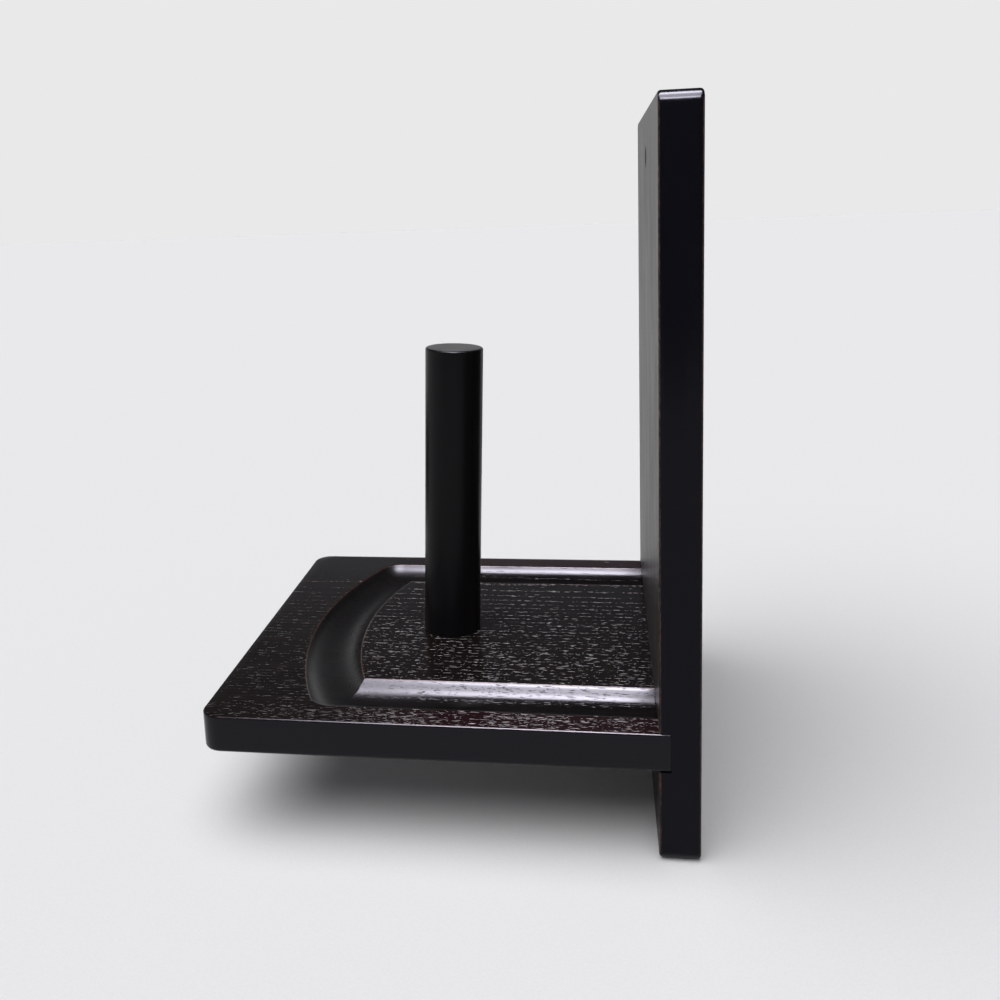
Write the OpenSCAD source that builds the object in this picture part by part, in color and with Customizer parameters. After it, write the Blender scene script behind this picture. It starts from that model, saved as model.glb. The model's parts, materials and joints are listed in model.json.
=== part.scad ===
// Wall-mounted paper towel holder: a backboard, a shelf housed across it and a fixed upright post.
// Millimetres. X runs side to side, the wall is towards +Y and +Z is up. The origin is where the
// axis of the upper wall screw meets the backboard's back face.

/* [Backboard] */
// Width of the backboard and of the shelf, side to side
holder_w = 228; // [190:1:320]
// Thickness of the backboard, front to back
board_t = 19; // [15:0.5:30]
// Height of the backboard above the shelf's top
board_above = 286; // [200:1:400]
// Height of the backboard below the shelf's underside
board_below = 45.5; // [34:0.5:80]
// Radius of the backboard's four corners, seen from the front
board_corner_r = 6; // [2:0.5:12]
// Radius that eases the backboard's long edges and its top and bottom edges
board_edge_r = 1.5; // [0.5:0.25:3]

/* [Shelf] */
// Thickness of the shelf
shelf_t = 19; // [17:0.5:30]
// Reach of the shelf, from the backboard's front face to its free edge
shelf_reach = 222.5; // [200:0.5:300]
// Radius of the shelf's two free corners, seen from above
shelf_corner_r = 10; // [2:0.5:20]
// Radius that eases the shelf's upper edges
shelf_top_edge_r = 1; // [0.5:0.25:3]
// Radius that eases the shelf's lower edges
shelf_lower_edge_r = 2; // [0.5:0.25:4]
// Depth of the housing across the backboard that takes the shelf's end
housing_depth = 5.5; // [3:0.5:8]

/* [Groove] */
// Width of the round-bottomed groove at the shelf's top
groove_w = 30; // [20:1:36]
// Depth of the groove below the shelf's top
groove_depth = 7.3; // [4:0.1:8]
// Flat left between the groove and each side of the shelf
groove_side_margin = 15.5; // [8:0.5:24]
// Flat left between the middle of the groove's arc and the free edge
groove_end_margin = 31.5; // [14:0.5:40]
// Radius of the groove's arc, along its centreline
groove_arc_r = 206; // [160:1:400]

/* [Post] */
// Diameter of the post, which goes inside the roll's core
post_d = 32; // [20:0.5:38]
// Height of the post above the shelf's top, along its axis
post_h = 164; // [100:1:260]
// Distance from the backboard's front face to the post's axis, where it meets the shelf's top
post_offset = 111.5; // [85:0.5:120]
// Angle by which the post leans from square to the shelf, towards the wall
post_lean = 2.5; // [0:0.1:3]
// Radius that eases the rim of the post's top
post_edge_r = 1; // [0.5:0.25:3]
// Depth of the round socket in the shelf that seats the post
socket_depth = 6; // [3:0.5:8]
// Side clearance that the post's sanded foot has in its socket, for glue
socket_clear = 0.2; // [0.1:0.05:0.4]
// Least height of the sanded foot that shows above the shelf
foot_show = 0.5; // [0.3:0.1:1]

/* [Wall screw holes] */
// Diameter of each clearance hole for a wall screw
wall_hole_d = 5.5; // [4:0.1:7]
// Diameter of the countersink around each wall screw hole, on the front face
wall_sink_d = 11.5; // [9:0.1:14]
// Distance from the backboard's top to the upper wall screw
upper_hole_inset = 24; // [12:0.5:40]
// Distance from the backboard's bottom to the lower wall screw
lower_hole_inset = 20; // [10:0.5:26]

/* [Wood screws] */
// Outside diameter of the wood screws' shank and thread
screw_d = 4.2; // [3.5:0.1:5]
// Diameter of the wood screws' countersunk head
screw_head_d = 8.2; // [7:0.1:9.5]
// Length of the wood screws, head included
screw_len = 40; // [35:1:50]
// Length of the wood screws' bare point
point_len = 5; // [3:0.5:6]
// Width of the wood screws' tip
tip_d = 0.4; // [0.2:0.1:0.8]
// Length of the wood screws' thread
thread_len = 24; // [14:1:26]
// Pitch of the wood screws' thread
thread_pitch = 1.8; // [1.2:0.1:2.5]
// Depth of the wood screws' thread
thread_depth = 0.6; // [0.4:0.05:0.8]
// Run of each flank of the wood screws' thread, along the screw
thread_flank = 0.6; // [0.3:0.05:0.6]
// Width of the slots of the cross recess in each screw head
cross_w = 1.1; // [0.6:0.1:1.4]
// Length of the slots of the cross recess, side to side
cross_span = 4.6; // [3:0.1:5.5]
// Depth of the cross recess
cross_depth = 1.8; // [1:0.1:2.4]
// Depth that each head lies below the face of the wood
head_recess = 0.5; // [0.3:0.1:1.5]
// Side clearance around a wood screw in its hole
screw_clear = 0.15; // [0.1:0.05:0.4]
// Distance from the groove's inner edge to the outer shelf screws
outer_screw_inset = 13.5; // [6:0.5:30]

/* [Hidden] */
$fn = 96;
board_h = board_above + shelf_t + board_below;
board_bottom = upper_hole_inset - board_h;
board_front = -board_t;
lower_hole_z = board_bottom + lower_hole_inset;
wall_sink_depth = (wall_sink_d - wall_hole_d) / 2;

shelf_top = upper_hole_inset - board_above;
shelf_bottom = shelf_top - shelf_t;
shelf_free_end = board_front - shelf_reach;
shelf_housed_end = board_front + housing_depth;

// The groove is cut by a round-nosed cutter whose chord is the groove's width
cutter_r = (groove_w * groove_w / 4 + groove_depth * groove_depth) / (2 * groove_depth);
cutter_z = shelf_top - groove_depth + cutter_r;
run_x = holder_w / 2 - groove_side_margin - groove_w / 2;
arc_centre_y = shelf_free_end + groove_end_margin + groove_w / 2 + groove_arc_r;
arc_half_angle = asin(run_x / groove_arc_r);
arc_end_y = arc_centre_y - groove_arc_r * cos(arc_half_angle);
// The cutter dwells where the arc meets a run, which leaves the corner this much wider
dwell = 0.03;

post_y = board_front - post_offset;
// How far the lean lifts the front of the post's foot, and lowers its back
foot_lift = post_d / 2 * tan(post_lean);

outer_screw_x = run_x - groove_w / 2 - outer_screw_inset;
shelf_screw_z = shelf_bottom + shelf_t / 2;
// A 90 degree countersunk head tapers as much on each side as it is deep
head_h = (screw_head_d - screw_d) / 2;
root_r = screw_d / 2 - thread_depth;
thread_start = screw_len - point_len - thread_len;
thread_turns = floor(thread_len / thread_pitch);

// How far a cut runs past the face that it starts from
past = 1;
wood_colour = [0.15, 0.13, 0.13];
screw_colour = [0.62, 0.6, 0.52];

shelf_screw_names = ["left", "middle", "right"];

// What a radius takes off a corner at the origin, whose flat sides run along -X and -Y
module corner_waste(r) {
    if (r > 0)
        translate([-r, -r])
            difference() {
                square(r + past);
                circle(r);
            }
}

// A rectangle from the origin to [w, h] with a radius for each corner, in the order
// lower left, lower right, upper right, upper left
module eased_rect(w, h, radii) {
    difference() {
        square([w, h]);
        mirror([1, 0]) mirror([0, 1]) corner_waste(radii[0]);
        translate([w, 0]) mirror([0, 1]) corner_waste(radii[1]);
        translate([w, h]) corner_waste(radii[2]);
        translate([0, h]) mirror([1, 0]) corner_waste(radii[3]);
    }
}

// A board from the origin to size, whose outline in each view is eased by that view's radii
module eased_board(size, from_above, from_front, from_side) {
    intersection() {
        linear_extrude(size[2]) eased_rect(size[0], size[1], from_above);
        translate([0, size[1], 0])
            rotate([90, 0, 0])
                linear_extrude(size[1]) eased_rect(size[0], size[2], from_front);
        rotate([90, 0, 90])
            linear_extrude(size[0]) eased_rect(size[1], size[2], from_side);
    }
}

// The half outline of a wood screw's thread, one crest for each turn
function thread_outline() = [
    for (turn = [0 : thread_turns - 1])
        for (step = [[root_r, 0], [screw_d / 2, thread_flank], [root_r, 2 * thread_flank]])
            [step[0], thread_start + turn * thread_pitch + step[1]]
];

// A countersunk wood screw, from its head's face at the origin to its point at +Z
module wood_screw() {
    color(screw_colour)
        difference() {
            rotate_extrude()
                polygon(concat(
                    [
                        [0, 0],
                        [screw_head_d / 2, 0],
                        [screw_d / 2, head_h],
                        [screw_d / 2, thread_start]
                    ],
                    thread_outline(),
                    [
                        [root_r, screw_len - point_len],
                        [tip_d / 2, screw_len],
                        [0, screw_len]
                    ]
                ));
            for (turn = [0, 90])
                rotate([0, 0, turn])
                    translate([-cross_span / 2, -cross_w / 2, -past])
                        cube([cross_span, cross_w, cross_depth + past]);
        }
}

// The hole that a wood screw takes in the wood, with its countersink and its recess
module wood_screw_hole() {
    hole_d = screw_d + 2 * screw_clear;
    sink_d = screw_head_d + 2 * screw_clear;
    translate([0, 0, -head_recess - past])
        cylinder(h = head_recess + past, d = sink_d);
    cylinder(h = head_h, d1 = sink_d, d2 = hole_d);
    cylinder(h = screw_len + screw_clear, d = hole_d);
}

// Sets its children at a shelf screw, pointing from the wall into the shelf: side is -1, 0 or 1
module at_shelf_screw(side) {
    translate([side * outer_screw_x, -head_recess, shelf_screw_z])
        rotate([90, 0, 0])
            children();
}

// Sets its children where the post's axis meets the shelf's top, with Z up along the axis
module at_post() {
    translate([0, post_y, shelf_top])
        rotate([-post_lean, 0, 0])
            children();
}

// Sets its children at the post screw, pointing up through the shelf into the post
module at_post_screw() {
    at_post()
        translate([0, 0, head_recess - shelf_t])
            children();
}

// A countersunk hole for a wall screw, through the backboard at height z
module wall_screw_hole(z) {
    translate([0, past, z])
        rotate([90, 0, 0])
            cylinder(h = board_t + 2 * past, d = wall_hole_d);
    translate([0, board_front + wall_sink_depth, z])
        rotate([90, 0, 0])
            cylinder(h = wall_sink_depth + past, d1 = wall_hole_d, d2 = wall_sink_d + 2 * past);
}

// The groove's straight run beside the post, out through the shelf's housed end
module groove_run(x) {
    run_back = shelf_housed_end + past;
    translate([x, run_back, cutter_z])
        rotate([90, 0, 0])
            cylinder(h = run_back - arc_end_y, r = cutter_r);
}

// The groove's arc, from one run round the front of the post to the other
module groove_arc() {
    translate([0, arc_centre_y, cutter_z])
        rotate([0, 0, -90 - arc_half_angle])
            rotate_extrude(angle = 2 * arc_half_angle)
                translate([groove_arc_r, 0])
                    circle(cutter_r);
}

// The round outer corner that the cutter leaves where the arc meets a run
module groove_corner(x) {
    translate([x, arc_end_y, cutter_z])
        sphere(cutter_r + dwell);
}

module backboard() {
    board_edges = [for (corner = [1 : 4]) board_edge_r];
    board_corners = [for (corner = [1 : 4]) board_corner_r];
    color(wood_colour)
        difference() {
            translate([-holder_w / 2, board_front, board_bottom])
                eased_board([holder_w, board_t, board_h], board_edges, board_corners, board_edges);
            translate([-holder_w / 2 - past, board_front - past, shelf_bottom])
                cube([holder_w + 2 * past, housing_depth + past, shelf_t]);
            for (z = [0, lower_hole_z])
                wall_screw_hole(z);
            for (side = [-1 : 1])
                at_shelf_screw(side) wood_screw_hole();
        }
}

module shelf() {
    shelf_len = shelf_housed_end - shelf_free_end;
    color(wood_colour)
        difference() {
            translate([-holder_w / 2, shelf_free_end, shelf_bottom])
                eased_board(
                    [holder_w, shelf_len, shelf_t],
                    [shelf_corner_r, shelf_corner_r, 0, 0],
                    [shelf_lower_edge_r, shelf_lower_edge_r, shelf_top_edge_r, shelf_top_edge_r],
                    [shelf_lower_edge_r, 0, 0, shelf_top_edge_r]
                );
            groove_arc();
            for (side = [-1, 1]) {
                groove_run(side * run_x);
                groove_corner(side * run_x);
            }
            at_post()
                translate([0, 0, -socket_depth])
                    cylinder(h = socket_depth + foot_lift + past, d = post_d);
            at_post_screw() wood_screw_hole();
            for (side = [-1 : 1])
                at_shelf_screw(side) wood_screw_hole();
        }
}

// The post's half outline, from the foot in its socket up to the eased rim of its top
module post_outline() {
    post_len = socket_depth + post_h;
    foot_len = socket_depth + foot_lift + foot_show;
    difference() {
        square([post_d / 2, post_len]);
        translate([post_d / 2 - socket_clear, -past]) square([past, foot_len + past]);
        translate([post_d / 2, post_len]) corner_waste(post_edge_r);
    }
}

module post() {
    color(wood_colour)
        difference() {
            at_post()
                translate([0, 0, -socket_depth])
                    rotate_extrude()
                        post_outline();
            at_post_screw() wood_screw_hole();
        }
}

module shelf_screw(side) {
    at_shelf_screw(side) wood_screw();
}

module post_screw() {
    at_post_screw() wood_screw();
}

backboard();
shelf();
post();
for (side = [-1 : 1])
    shelf_screw(side);
post_screw();
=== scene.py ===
import json
import math

import bmesh
import bpy
import numpy as np
from mathutils import Matrix, Vector


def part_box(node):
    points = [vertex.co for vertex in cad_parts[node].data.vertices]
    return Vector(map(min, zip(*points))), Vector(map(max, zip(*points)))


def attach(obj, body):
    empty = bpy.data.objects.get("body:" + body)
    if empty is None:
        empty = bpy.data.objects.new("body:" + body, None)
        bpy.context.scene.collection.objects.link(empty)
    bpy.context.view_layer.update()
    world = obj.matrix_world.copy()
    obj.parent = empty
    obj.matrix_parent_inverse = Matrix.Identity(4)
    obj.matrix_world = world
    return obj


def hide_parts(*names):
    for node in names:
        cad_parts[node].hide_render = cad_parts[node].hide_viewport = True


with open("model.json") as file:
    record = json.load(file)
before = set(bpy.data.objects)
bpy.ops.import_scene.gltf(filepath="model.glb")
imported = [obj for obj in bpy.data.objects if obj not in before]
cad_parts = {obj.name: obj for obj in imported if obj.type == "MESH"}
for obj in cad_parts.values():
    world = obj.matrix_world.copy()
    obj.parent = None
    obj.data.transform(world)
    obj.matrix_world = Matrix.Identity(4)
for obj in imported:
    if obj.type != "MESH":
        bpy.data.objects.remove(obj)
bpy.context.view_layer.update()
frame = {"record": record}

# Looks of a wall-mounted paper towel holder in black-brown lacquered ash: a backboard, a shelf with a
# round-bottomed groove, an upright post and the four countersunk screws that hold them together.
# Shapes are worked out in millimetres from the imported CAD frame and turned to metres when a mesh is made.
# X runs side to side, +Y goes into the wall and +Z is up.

MM = 0.001


# ---------------------------------------------------------------- sizes, in millimetres

def node_box(node):
    """The lowest and highest corner of a CAD node."""
    low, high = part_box(node)
    return np.array(low) / MM, np.array(high) / MM


BOARD_LOW, BOARD_HIGH = node_box("backboard")
SHELF_LOW, SHELF_HIGH = node_box("shelf")
MOUNTS = {mount["name"]: mount for mount in frame["record"]["mounts"]}

HALF_W = BOARD_HIGH[0]
BOARD_CORNER_R = 6.0
BOARD_EDGE_R = 1.5
SHELF_THICK = SHELF_HIGH[2] - SHELF_LOW[2]
SHELF_CORNER_R = 10.0
SHELF_TOP_EDGE_R = 1.0
SHELF_LOWER_EDGE_R = 2.0
HOUSED_EDGE_R = 0.5

# The groove follows a straight run on each side and an arc across the front. Its section is part of a circle
GROOVE_HALF_W = 15.0
GROOVE_DEPTH = 7.3
GROOVE_SIDE_MARGIN = 15.5
GROOVE_END_MARGIN = 31.5
GROOVE_ARC_R = 206.0
RIM_EASE = 0.5
CUTTER_R = (GROOVE_HALF_W**2 + GROOVE_DEPTH**2) / (2 * GROOVE_DEPTH)
RUN_X = HALF_W - GROOVE_SIDE_MARGIN - GROOVE_HALF_W
ARC_CENTRE_Y = SHELF_LOW[1] + GROOVE_END_MARGIN + GROOVE_HALF_W + GROOVE_ARC_R
ARC_HALF_ANGLE = math.asin(RUN_X / GROOVE_ARC_R)
ARC_END_Y = ARC_CENTRE_Y - GROOVE_ARC_R * math.cos(ARC_HALF_ANGLE)

# The post leans a little towards the wall. Places along it are lengths from where its axis meets the shelf
ROLL_POST = MOUNTS["roll_post"]
POST_AXIS = np.array(ROLL_POST["axis"]) / np.linalg.norm(ROLL_POST["axis"])
POST_R = ROLL_POST["dims"]["r_mm"]
POST_EDGE_R = 1.0
FOOT_CLEAR = 0.2
FOOT_TOP = (ROLL_POST["pos_m"][2] / MM - SHELF_HIGH[2]) / POST_AXIS[2]
POST_FOOT = np.array(ROLL_POST["pos_m"]) / MM - POST_AXIS * FOOT_TOP
POST_TOP = FOOT_TOP + ROLL_POST["dims"]["length_mm"] + POST_EDGE_R
SOCKET_DEPTH = 6.0

WALL_HOLE_R = MOUNTS["wall_screw_upper"]["dims"]["r_mm"]
WALL_SINK_DEPTH = BOARD_HIGH[1] - BOARD_LOW[1] - MOUNTS["wall_screw_upper"]["dims"]["length_mm"]
WALL_HOLE_Z = [MOUNTS[name]["pos_m"][2] / MM for name in ("wall_screw_upper", "wall_screw_lower")]

SHELF_SCREWS = ["shelf_screw_left", "shelf_screw_middle", "shelf_screw_right"]
SHELF_SCREW_X = [sum(part[0] for part in node_box(name)) / 2 for name in SHELF_SCREWS]
SHELF_SCREW_Z = sum(part[2] for part in node_box("shelf_screw_middle")) / 2
SCREW_LOW, SCREW_HIGH = node_box("shelf_screw_middle")
SCREW_HEAD_R = (SCREW_HIGH[0] - SCREW_LOW[0]) / 2
SCREW_LEN = SCREW_HIGH[1] - SCREW_LOW[1]
HEAD_SUNK = BOARD_HIGH[1] - SCREW_HIGH[1]
SCREW_R = 2.1
SCREW_CLEAR = 0.15
HEAD_H = SCREW_HEAD_R - SCREW_R
SCREW_HOLE_R = SCREW_R + SCREW_CLEAR
SCREW_SINK_R = SCREW_HEAD_R + SCREW_CLEAR

# The thread's ridge reaches RIDGE_SHARE of the pitch to each side of its crest
THREAD_DEPTH = 0.6
THREAD_PITCH = 1.8
THREAD_LEN = 24.0
RIDGE_SHARE = 0.3
POINT_LEN = 5.0
TIP_R = 0.2

# The cross recess in a screw's head: how far its four wings reach and their half width, how wide their
# sloping end and side walls are, and the depth of its floor. The floor would rise by its whole depth over
# CROSS_RISE, and CROSS_LEVEL is the share of that length where it is still level, in the middle
CROSS_REACH = 2.35
CROSS_HALF_W = 0.62
CROSS_END_WALL = 0.5
CROSS_SIDE_WALL = 0.22
CROSS_DEPTH = 1.9
CROSS_LEVEL = 0.15
CROSS_RISE = 4.5

# Every hole starts from a square window in a face's grid. These are the half widths and the cells across
WALL_WINDOW = 8.0
SCREW_WINDOW = 6.0
WINDOW_CELLS = 8

# Points as close as this are one point
MERGE_WITHIN = 0.002


# ---------------------------------------------------------------- mesh tools

def solid(name, grids, caps=(), sharp_from=32.0):
    """One closed mesh from grids of points and flat caps, in millimetres.

    A grid is (points[rows, columns, 3], closed, windows): closed joins the last column to the first, and
    a window (row0, row1, column0, column1) leaves its cells out. A cap is one loop of points. Points that
    meet are merged, and edges steeper than sharp_from degrees stay crisp.
    """
    points, faces, start = [], [], 0
    for grid, closed, windows in grids:
        rows, columns = grid.shape[:2]
        number = np.arange(rows * columns).reshape(rows, columns) + start
        if closed:
            number = np.concatenate([number, number[:, :1]], axis=1)
        keep = np.ones((rows - 1, number.shape[1] - 1), bool)
        for row0, row1, column0, column1 in windows:
            keep[row0:row1, column0:column1] = False
        quads = np.stack([number[:-1, :-1], number[1:, :-1], number[1:, 1:], number[:-1, 1:]], axis=-1)
        faces += quads[keep].tolist()
        points.append(grid.reshape(-1, 3))
        start += rows * columns
    for cap in caps:
        faces.append(list(range(start, start + len(cap))))
        points.append(np.asarray(cap))
        start += len(cap)
    mesh = bpy.data.meshes.new(name)
    mesh.from_pydata((np.concatenate(points) * MM).tolist(), [], faces)
    work = bmesh.new()
    work.from_mesh(mesh)
    bmesh.ops.remove_doubles(work, verts=work.verts, dist=MERGE_WITHIN * MM)
    bmesh.ops.recalc_face_normals(work, faces=work.faces)
    work.to_mesh(mesh)
    work.free()
    mesh.shade_smooth()
    mesh.set_sharp_from_angle(angle=math.radians(sharp_from))
    piece = bpy.data.objects.new(name, mesh)
    bpy.context.collection.objects.link(piece)
    return piece


def places(piece):
    """The piece's vertices, in millimetres."""
    flat = np.empty(len(piece.data.vertices) * 3)
    piece.data.vertices.foreach_get("co", flat)
    return flat.reshape(-1, 3) / MM


def store(piece, name, values):
    """Keeps one number for each vertex, which the piece's material reads as an attribute."""
    attribute = piece.data.attributes.new(name, "FLOAT", "POINT")
    attribute.data.foreach_set("value", np.asarray(values, dtype=np.float32))


def steps(start, stop, count):
    """Values from start to stop in equal steps, each of which scales a whole row of points."""
    return np.linspace(start, stop, count + 1)[:, None, None]


def arc(centre_a, centre_b, radius, start, end, count):
    """Points of an arc in a plane, with angles in degrees from the plane's first axis to its second."""
    angle = np.radians(np.linspace(start, end, count + 1))
    return np.stack([centre_a + radius * np.cos(angle), centre_b + radius * np.sin(angle)], axis=-1)


def round_points(radius, turn, along):
    """Points at a radius and an angle about Z and a place along it."""
    return np.stack(np.broadcast_arrays(radius * np.cos(turn), radius * np.sin(turn), along), axis=-1)


def polar(ring, centre, axis, profile):
    """Rows of circles round an axis, one for each (radius, distance along the axis) of the profile.

    Each circle has a point in the direction of each point of the ring, so that it joins up with it.
    """
    out = ring - centre
    out = out - (out @ axis)[:, None] * axis
    out /= np.linalg.norm(out, axis=1)[:, None]
    return np.stack([centre + axis * along + out * radius for radius, along in profile])


def border(grid, window):
    """The points round a window in a grid, once round."""
    row0, row1, column0, column1 = window
    return np.concatenate([
        grid[row0, column0:column1],
        grid[row0:row1, column1],
        grid[row1, column1:column0:-1],
        grid[row1:row0:-1, column0],
    ])


def lines(low, high, step, *windows):
    """Grid lines from low to high, about a step apart, and closer across each (centre, half) window."""
    stops = sorted({low, high, *(c + s * h for c, h in windows for s in (-1, 1))})
    spans = [np.linspace(a, b, max(int(math.ceil((b - a) / step)), 1), endpoint=False)
             for a, b in zip(stops, stops[1:])]
    outside = [part for part, a in zip(spans, stops) if not any(c - h <= a < c + h for c, h in windows)]
    inside = [np.linspace(c - h, c + h, WINDOW_CELLS + 1) for c, h in windows]
    return np.unique(np.concatenate([*outside, *inside, [high]]).round(6))


def span(values, centre, half):
    """The first and last number of the grid lines that a window lies between."""
    return int(np.abs(values - (centre - half)).argmin()), int(np.abs(values - (centre + half)).argmin())


# ---------------------------------------------------------------- shelf

def groove_distance(x, y):
    """Distance from the groove's centreline: two straight runs and the arc between them."""
    x = np.abs(x)
    out = np.hypot(x, ARC_CENTRE_Y - y)
    turned = np.arctan2(x, ARC_CENTRE_Y - y)
    from_arc = np.where(turned <= ARC_HALF_ANGLE, np.abs(out - GROOVE_ARC_R), np.inf)
    from_run = np.where(y >= ARC_END_Y, np.abs(x - RUN_X), np.inf)
    from_corner = np.hypot(x - RUN_X, y - ARC_END_Y)
    return np.minimum(np.minimum(from_arc, from_run), from_corner)


def groove_drop(x, y):
    """How far the shelf's top lies below its flat: the round cutter's section, with its rims eased.

    A circle's section gives drop = depth - r + sqrt(r^2 - d^2), and within the easing it meets the flat
    in a parabola.
    """
    reach = np.minimum(groove_distance(x, y), CUTTER_R)
    drop = GROOVE_DEPTH - CUTTER_R + np.sqrt(CUTTER_R**2 - reach**2)
    eased = (drop + RIM_EASE) ** 2 / (4 * RIM_EASE)
    return np.where(drop > RIM_EASE, drop, np.where(drop < -RIM_EASE, 0.0, eased))


def curve_length(curve):
    """A curve's length in plan. A single point has none."""
    return float(np.hypot(*np.diff(curve, axis=0).T).sum())


def resample(curve, knots, counts):
    """Points along a finely drawn curve: counts[i] equal steps from the length knots[i] to knots[i + 1]."""
    travelled = np.concatenate([[0], np.cumsum(np.hypot(*np.diff(curve, axis=0).T))])
    stations = [np.linspace(a, b, n, endpoint=False) for a, b, n in zip(knots, knots[1:], counts)]
    at = np.concatenate(stations + [[knots[-1]]])
    return np.column_stack([np.interp(at, travelled, curve[:, i]) for i in (0, 1)])


def both_sides(half):
    """A curve from the shelf's middle to its housed end, joined to its mirror image on the other side."""
    return np.concatenate([(half * [-1, 1])[:0:-1], half])


def shelf_curves():
    """The lines that the shelf's top follows, in plan, each from one side of the housed end to the other.

    They are the groove's inner rim, centreline and outer rim, and the board's outline. Each is an arc or
    an edge across the front, a corner and a straight run, with as many steps on every line. The corner's
    steps go on for reach past it on both sides.
    """
    half = math.degrees(ARC_HALF_ANGLE)
    inner_turn = math.degrees(math.asin((RUN_X - GROOVE_HALF_W) / (GROOVE_ARC_R - GROOVE_HALF_W)))
    free_y, end_y = SHELF_LOW[1], SHELF_HIGH[1]

    # Arcs are drawn finely first, and then divided into equal steps
    fine = 400

    def front_arc(radius, turn):
        return arc(0, ARC_CENTRE_Y, radius, -90, -90 + turn, fine)

    inner = front_arc(GROOVE_ARC_R - GROOVE_HALF_W, inner_turn)
    centre = front_arc(GROOVE_ARC_R, half)
    outer = front_arc(GROOVE_ARC_R + GROOVE_HALF_W, half)
    outer_corner = arc(RUN_X, ARC_END_Y, GROOVE_HALF_W, -90 + half, 0, fine)
    edge = np.array([[0, free_y], [HALF_W - SHELF_CORNER_R, free_y]])
    board_corner = arc(HALF_W - SHELF_CORNER_R, free_y + SHELF_CORNER_R, SHELF_CORNER_R, -90, 0, fine)

    # Steps across the front, into and out of the corner, along the run, and in its last 2 mm and 0.5 mm
    counts = [44, 12, 12, 46, 3, 3]
    curves = []
    for front, corner, run_x, reach in (
        (inner, inner[-1:], RUN_X - GROOVE_HALF_W, 9.0),
        (centre, centre[-1:], RUN_X, 9.0),
        (outer, outer_corner, RUN_X + GROOVE_HALF_W, 0.0),
        (edge, board_corner, HALF_W, 22.0),
    ):
        whole = np.concatenate([front, corner[1:], [[run_x, end_y]]])
        total = curve_length(whole)
        start = curve_length(front)
        stop = start + curve_length(corner)
        knots = [0, start - reach, (start + stop) / 2, stop + reach, total - 2, total - 0.5, total]
        curves.append(both_sides(resample(whole, knots, counts)))
    return curves


def outward(curve):
    """Unit directions that point out of an outline, in plan."""
    along = np.gradient(curve, axis=0)
    out = np.stack([along[:, 1], -along[:, 0]], axis=-1)
    return out / np.linalg.norm(out, axis=1)[:, None]


def raised(plan, z):
    """Plan points at one height, or each at its own."""
    return np.concatenate([plan, np.broadcast_to(z, plan.shape[:-1])[..., None]], axis=-1)


def shelf_strip():
    """The shelf's top from the groove's inner rim to the outline, its eased edges and its side.

    Every row runs from one side of the housed end round to the other. The height is the flat less
    groove_drop(x, y), so every point on the groove lies on the cutter's round.
    """
    top, bottom = SHELF_HIGH[2], SHELF_LOW[2]
    inner, centre, outer, outline = shelf_curves()
    out = outward(outline)
    out[0], out[-1] = (-1, 0), (1, 0)

    # Rows across the groove, in millimetres from either rim, close together where the rim is eased
    from_rim = np.array([
        -0.9, -0.55, -0.3, -0.12, 0.0, 0.12, 0.3, 0.55, 0.9, 1.6, 2.7, 4.2, 6.0, 8.0, 10.2, 12.6,
    ])
    share = (from_rim / GROOVE_HALF_W)[:, None, None]
    top_inset = outline - out * SHELF_TOP_EDGE_R
    groove = np.concatenate([
        inner + (centre - inner) * share,
        centre[None],
        (outer + (centre - outer) * share)[::-1],
    ])
    margin = groove[-1] + (top_inset - groove[-1]) * steps(0, 1, 8)[1:-1]
    flat = np.concatenate([groove, margin])
    surface = raised(flat, top - groove_drop(flat[..., 0], flat[..., 1]))

    def rounded(radius, z, start, end, count):
        turn = np.radians(steps(start, end, count))
        plan = outline - out * radius + out * radius * np.cos(turn)
        return raised(plan, (z + radius * np.sin(turn))[..., 0])

    upper = rounded(SHELF_TOP_EDGE_R, top - SHELF_TOP_EDGE_R, 90, 0, 6)
    lower = rounded(SHELF_LOWER_EDGE_R, bottom + SHELF_LOWER_EDGE_R, 0, -90, 8)
    side = upper[-1] + (lower[0] - upper[-1]) * steps(0, 1, 5)[1:-1]
    strip = np.concatenate([surface, upper, side, lower])

    # The housed end's own edges are eased, which leaves a fine dark line where they meet the housing
    back = np.clip(SHELF_HIGH[1] - strip[..., 1], 0, HOUSED_EDGE_R)
    tuck = HOUSED_EDGE_R - np.sqrt(HOUSED_EDGE_R**2 - (HOUSED_EDGE_R - back) ** 2)
    on_side = np.abs(strip[..., 0]) > HALF_W - SHELF_LOWER_EDGE_R
    strip[..., 0] -= np.where(on_side, tuck * np.sign(strip[..., 0]), 0.0)
    return strip


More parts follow.
